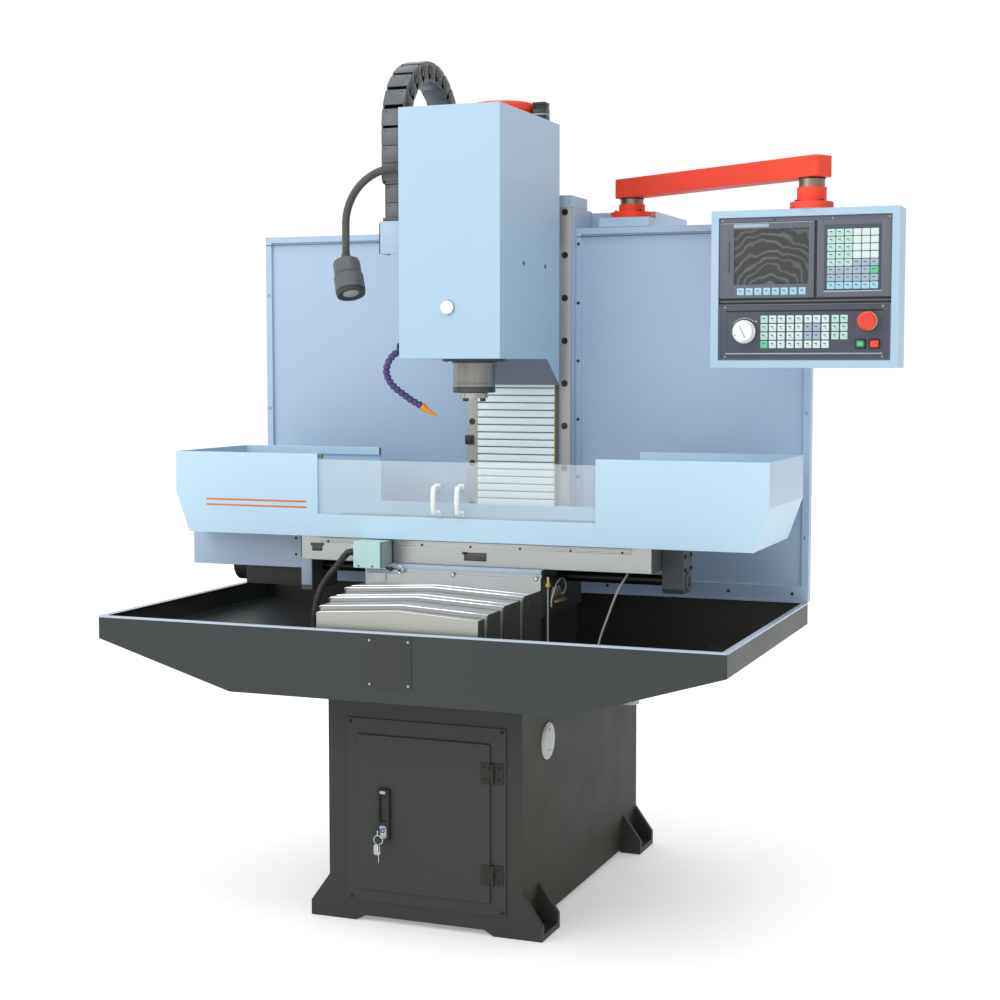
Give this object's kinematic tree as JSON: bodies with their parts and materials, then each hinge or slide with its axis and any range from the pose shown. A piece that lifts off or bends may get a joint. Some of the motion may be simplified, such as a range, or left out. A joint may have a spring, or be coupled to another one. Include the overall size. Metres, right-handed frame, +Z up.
{
  "type": "cnc milling machine",
  "caption": "Vertical CNC mill with a chip tray on a base cabinet, moving saddle and guarded table, sliding spindle head and a control box on a swinging arm",
  "frame": {"origin": "on the floor, in the middle of the four anchor holes", "axes": "+X to the operator's right, +Y from the operator to the back of the machine, +Z up"},
  "size_m": [1.7743, 1.3043, 2.056],
  "materials": {
    "dark_paint": "dark grey-green textured paint",
    "tray_paint": "dark slate paint",
    "cast_paint": "painted casting",
    "blue_paint": "light blue satin paint",
    "red_paint": "red gloss paint",
    "bright_steel": "bright ground steel",
    "ground_steel": "ground steel",
    "motor_black": "black motor enamel",
    "tank_steel": "grey paint",
    "distributor_brass": "plain brass",
    "black_plastic": "black nylon",
    "belt_rubber": "black rubber",
    "white_plastic": "white plastic",
    "clear_window": "clear window",
    "hose_purple": "dark purple plastic",
    "panel_grey": "grey panel",
    "button_red": "red plastic",
    "button_green": "green plastic"
  },
  "bodies": {
    "frame": {"base_cabinet": "dark_paint", "door_frame": "dark_paint", "coolant_tank": "tank_steel", "coolant_pump": "motor_black", "chip_tray": "tray_paint", "blank_plate": "tray_paint", "side_cap": "white_plastic", "bed": "cast_paint", "column": "blue_paint", "way_strips": "bright_steel", "column_cap": "blue_paint", "back_panel_left": "blue_paint", "back_panel_right": "blue_paint", "electrical_cabinet": "blue_paint", "arm_bracket": "blue_paint", "y_motor": "motor_black", "z_motor": "motor_black", "cover_section_1": "bright_steel", "chain_rear_leg": "black_plastic", "way_cover": "white_plastic"},
    "base_door": {"base_door": "dark_paint"},
    "door_lock": {"door_lock": "ground_steel"},
    "cabinet_door": {"cabinet_door": "blue_paint"},
    "y_screw": {"y_screw": "ground_steel"},
    "z_screw": {"z_screw": "ground_steel"},
    "cover_2": {"cover_section_2": "bright_steel"},
    "cover_3": {"cover_section_3": "bright_steel"},
    "saddle": {"cover_section_4": "bright_steel", "saddle": "cast_paint", "limit_switch_box": "blue_paint", "oil_distributor": "distributor_brass", "switch_conduit": "black_plastic"},
    "table": {"table": "bright_steel", "dog_rail": "bright_steel", "x_motor": "motor_black", "x_motor_cover": "blue_paint", "x_bearing_housing": "cast_paint", "table_guard": "blue_paint"},
    "x_screw": {"x_screw": "ground_steel"},
    "window_left": {"window_left": "clear_window"},
    "window_right": {"window_right": "clear_window"},
    "head": {"head_casting": "cast_paint", "head_cover": "blue_paint", "spindle_motor": "motor_black", "spindle_housing": "bright_steel", "drive_belt": "belt_rubber", "chain_front_leg": "black_plastic", "work_lamp": "black_plastic", "coolant_hose": "hose_purple"},
    "spindle": {"spindle": "bright_steel"},
    "motor_pulley": {"motor_pulley": "ground_steel"},
    "chain": {"drag_chain": "black_plastic"},
    "arm": {"control_arm": "red_paint"},
    "control_box": {"control_box": "blue_paint", "display_unit": "panel_grey", "operator_panel": "panel_grey"},
    "jog_knob": {"jog_knob": "white_plastic"},
    "emergency_stop": {"emergency_stop": "button_red"},
    "start_button": {"start_button": "button_green"},
    "stop_button": {"stop_button": "button_red"}
  },
  "joints": [
    {"name": "y_slide", "type": "slide", "parent": "frame", "child": "saddle", "axis": [0, 1, 0], "range_m": [-0.16, 0.05]},
    {"name": "x_slide", "type": "slide", "parent": "saddle", "child": "table", "axis": [1, 0, 0], "range_m": [-0.222, 0.18]},
    {"name": "z_slide", "type": "slide", "parent": "frame", "child": "head", "axis": [0, 0, 1], "range_m": [-0.225, 0.135], "deforming": ["way_cover"]},
    {"name": "y_screw_turn", "type": "hinge", "parent": "frame", "child": "y_screw", "pos_m": [0, 0, 0.645], "axis": [0, 1, 0], "range_deg": [-11525, 3605]},
    {"name": "x_screw_turn", "type": "hinge", "parent": "table", "child": "x_screw", "pos_m": [0, -0.13, 0.8007], "axis": [1, 0, 0], "range_deg": [-15989, 12965]},
    {"name": "z_screw_turn", "type": "hinge", "parent": "frame", "child": "z_screw", "pos_m": [0, 0.238, 1.2], "axis": [0, 0, 1], "range_deg": [-16205, 9725]},
    {"name": "cover_2_slide", "type": "slide", "parent": "frame", "child": "cover_2", "axis": [0, 1, 0], "range_m": [-0.028, 0.009]},
    {"name": "cover_3_slide", "type": "slide", "parent": "frame", "child": "cover_3", "axis": [0, 1, 0], "range_m": [-0.097, 0.031]},
    {"name": "chain_slide", "type": "slide", "parent": "head", "child": "chain", "axis": [0, 0, 1], "range_m": [-0.068, 0.113]},
    {"name": "spindle_turn", "type": "hinge", "parent": "head", "child": "spindle", "pos_m": [0, -0.13, 1.3], "axis": [0, 0, 1], "continuous": true},
    {"name": "motor_turn", "type": "hinge", "parent": "head", "child": "motor_pulley", "pos_m": [0, 0.068, 1.56], "axis": [0, 0, 1], "continuous": true},
    {"name": "window_left_slide", "type": "slide", "parent": "table", "child": "window_left", "axis": [-1, 0, 0], "range_m": [0, 0.3]},
    {"name": "window_right_slide", "type": "slide", "parent": "table", "child": "window_right", "axis": [1, 0, 0], "range_m": [0, 0.3]},
    {"name": "arm_swing", "type": "hinge", "parent": "frame", "child": "arm", "pos_m": [0.274, 0.28, 1.7383], "axis": [0, 0, 1], "range_deg": [-35, 6]},
    {"name": "box_swivel", "type": "hinge", "parent": "arm", "child": "control_box", "pos_m": [0.80576, -0.04459, 1.7383], "axis": [0, 0, 1], "range_deg": [-75, 30]},
    {"name": "base_door_hinge", "type": "hinge", "parent": "frame", "child": "base_door", "pos_m": [0.174, -0.4535, 0.26], "axis": [0, 0, 1], "range_deg": [0, 110]},
    {"name": "door_lock_turn", "type": "hinge", "parent": "base_door", "child": "door_lock", "pos_m": [-0.096, -0.449, 0.226], "axis": [0, 1, 0], "range_deg": [0, 90]},
    {"name": "cabinet_door_hinge", "type": "hinge", "parent": "frame", "child": "cabinet_door", "pos_m": [0.312, 0.657, 1.2], "axis": [0, 0, -1], "range_deg": [0, 105]},
    {"name": "jog_knob_turn", "type": "hinge", "parent": "control_box", "child": "jog_knob", "pos_m": [0.66026, -0.08459, 1.385], "axis": [0, -1, 0], "range_deg": [-150, 150]},
    {"name": "emergency_stop_push", "type": "slide", "parent": "control_box", "child": "emergency_stop", "axis": [0, 1, 0], "range_m": [0, 0.004]},
    {"name": "start_button_push", "type": "slide", "parent": "control_box", "child": "start_button", "axis": [0, 1, 0], "range_m": [0, 0.003], "stiffness_N_per_m": 300},
    {"name": "stop_button_push", "type": "slide", "parent": "control_box", "child": "stop_button", "axis": [0, 1, 0], "range_m": [0, 0.003], "stiffness_N_per_m": 300}
  ],
  "couplings": [
    {"joint": "y_screw_turn", "follows": "y_slide", "rad_per_m": 1256.6},
    {"joint": "x_screw_turn", "follows": "x_slide", "rad_per_m": 1256.6},
    {"joint": "z_screw_turn", "follows": "z_slide", "rad_per_m": 1256.6},
    {"joint": "cover_2_slide", "follows": "y_slide", "ratio": 0.17},
    {"joint": "cover_3_slide", "follows": "y_slide", "ratio": 0.6},
    {"joint": "chain_slide", "follows": "z_slide", "ratio": -0.5},
    {"joint": "motor_turn", "follows": "spindle_turn", "ratio": 1}
  ]
}
